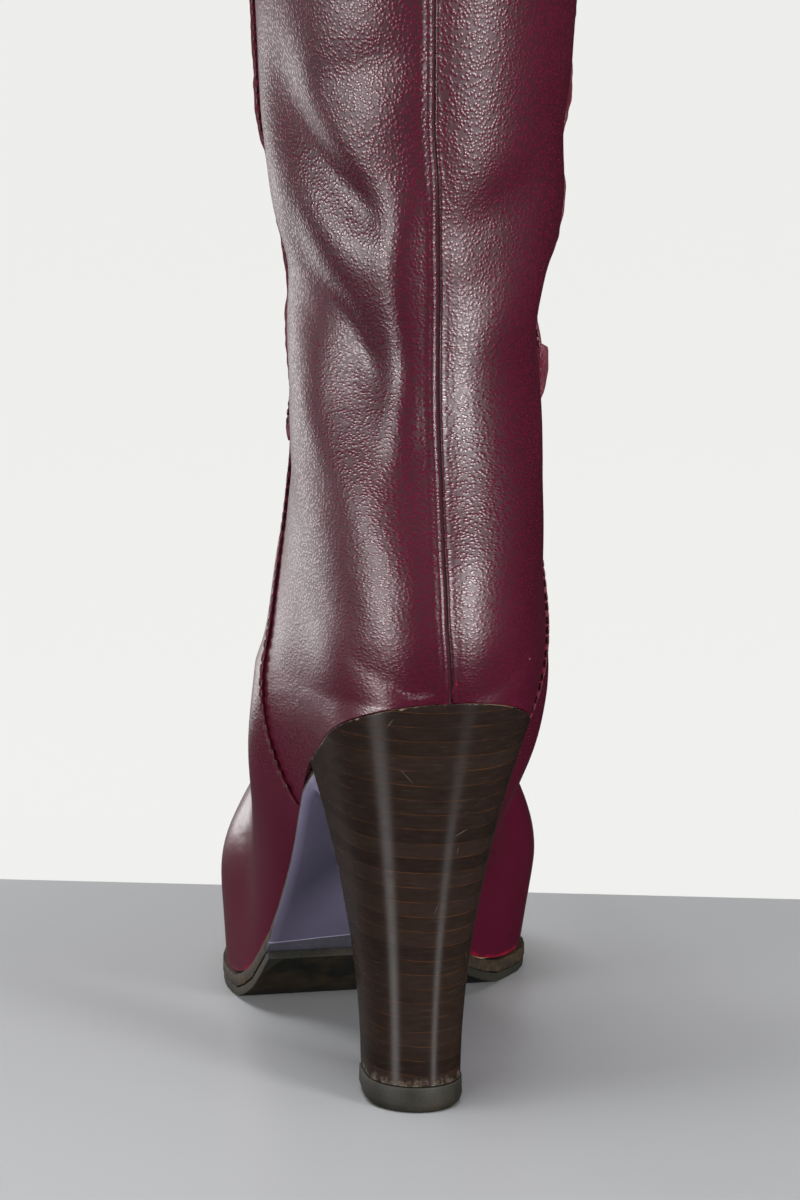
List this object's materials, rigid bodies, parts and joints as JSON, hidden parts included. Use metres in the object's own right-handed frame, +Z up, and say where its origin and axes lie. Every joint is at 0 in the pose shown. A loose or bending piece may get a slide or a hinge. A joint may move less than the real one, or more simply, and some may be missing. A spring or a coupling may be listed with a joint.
{
  "type": "over-the-knee boot",
  "caption": "Left over-the-knee leather boot with raised raw-edge side seams, an almond toe, a painted leather arch sole, a rubber half sole and a tall stacked block heel.",
  "frame": {"origin": "on the floor under the middle of the bounding box", "axes": "+Z up the shaft, -Y towards the toe, +X towards the outer side of the leg"},
  "size_m": [0.1238, 0.2412, 0.6322],
  "materials": {
    "burgundy_leather": "pebbled full grain, semi-gloss",
    "raw_edge": "raw cut edge, matt",
    "sock_leather": "matt",
    "sole_leather": "violet paint, semi-gloss",
    "stacked_leather": "stained and waxed, layer lines showing",
    "black_rubber": "matt"
  },
  "bodies": {
    "root": {"upper": "burgundy_leather", "lateral_seam": "raw_edge", "medial_seam": "raw_edge", "front_seam": "raw_edge", "insole": "sock_leather", "outsole": "sole_leather", "half_sole": "black_rubber", "heel": "stacked_leather", "top_piece": "black_rubber"}
  },
  "joints": []
}
